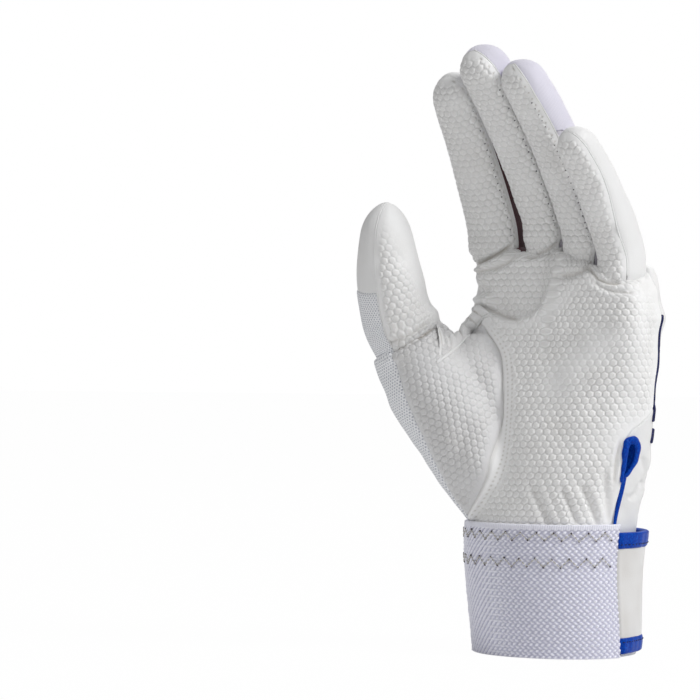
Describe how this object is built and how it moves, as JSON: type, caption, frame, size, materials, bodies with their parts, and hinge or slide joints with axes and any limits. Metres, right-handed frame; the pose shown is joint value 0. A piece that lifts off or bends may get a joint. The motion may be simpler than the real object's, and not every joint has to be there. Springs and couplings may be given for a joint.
{
  "type": "batting glove",
  "caption": "Left-hand batting glove standing in worn shape on its cuff, palm out, with embossed palm and fingers, smooth back, knit elastic cuff and closing strap.",
  "frame": {"origin": "middle of the wrist opening, in the plane of the cuff hem", "axes": "+Z towards the fingertips, -Y the way the palm faces, -X towards the thumb, +X towards the little finger"},
  "size_m": [0.1133, 0.0897, 0.2401],
  "materials": {
    "embossed_leather": "embossed synthetic leather, satin",
    "smooth_leather": "smooth synthetic leather, satin",
    "stretch_knit": "fine stretch knit, matt",
    "mesh_fabric": "open knitted mesh, matt",
    "rib_elastic": "coarse knitted elastic, matt",
    "blue_binding": "folded binding, satin",
    "navy_piping": "woven piping, satin",
    "hook_tape": "hook tape, matt",
    "loop_tape": "loop tape, matt"
  },
  "bodies": {
    "hand": {"palm_panel": "embossed_leather", "thenar_panel": "embossed_leather", "back_panel": "smooth_leather", "thumb_base_mesh": "mesh_fabric", "web_gusset": "smooth_leather", "crotch_gusset": "stretch_knit", "cuff_elastic": "rib_elastic", "wrist_flap": "smooth_leather", "loop_patch": "loop_tape", "slit_binding": "blue_binding", "slit_binding_tail": "blue_binding", "side_piping": "navy_piping"},
    "index": {"index_front": "embossed_leather", "index_back": "smooth_leather", "index_gusset_ulnar": "stretch_knit"},
    "middle": {"middle_front": "embossed_leather", "middle_back": "stretch_knit", "middle_gusset_radial": "stretch_knit", "middle_gusset_ulnar": "stretch_knit"},
    "ring": {"ring_front": "embossed_leather", "ring_back": "stretch_knit", "ring_gusset_radial": "stretch_knit", "ring_gusset_ulnar": "stretch_knit"},
    "little": {"little_front": "embossed_leather", "little_back": "smooth_leather", "little_gusset_radial": "stretch_knit"},
    "thumb": {"thumb_front": "embossed_leather", "thumb_back": "smooth_leather", "thumb_mesh": "mesh_fabric"},
    "strap": {"strap_tab": "smooth_leather", "strap_binding_top": "blue_binding", "strap_binding_bottom": "blue_binding", "hook_patch": "hook_tape"}
  },
  "joints": [
    {"name": "index_curl", "type": "hinge", "parent": "hand", "child": "index", "pos_m": [-0.0268, 0.00018, 0.164], "axis": [1, 0, 0], "range_deg": [-5, 30]},
    {"name": "middle_curl", "type": "hinge", "parent": "hand", "child": "middle", "pos_m": [-0.0032, 0.0023, 0.168], "axis": [1, 0, 0], "range_deg": [-5, 30]},
    {"name": "ring_curl", "type": "hinge", "parent": "hand", "child": "ring", "pos_m": [0.0172, 0.0019, 0.163], "axis": [1, 0, 0], "range_deg": [-5, 30]},
    {"name": "little_curl", "type": "hinge", "parent": "hand", "child": "little", "pos_m": [0.0355, -0.00024, 0.153], "axis": [1, 0, 0], "range_deg": [-5, 30]},
    {"name": "thumb_curl", "type": "hinge", "parent": "hand", "child": "thumb", "pos_m": [-0.0495, -0.033, 0.125], "axis": [-0.1459, 0.9444, 0.2946], "range_deg": [-5, 25]},
    {"name": "strap_open", "type": "hinge", "parent": "hand", "child": "strap", "pos_m": [0.03461, -0.00682, 0.0245], "axis": [0, 0, -1], "range_deg": [0, 100]}
  ]
}
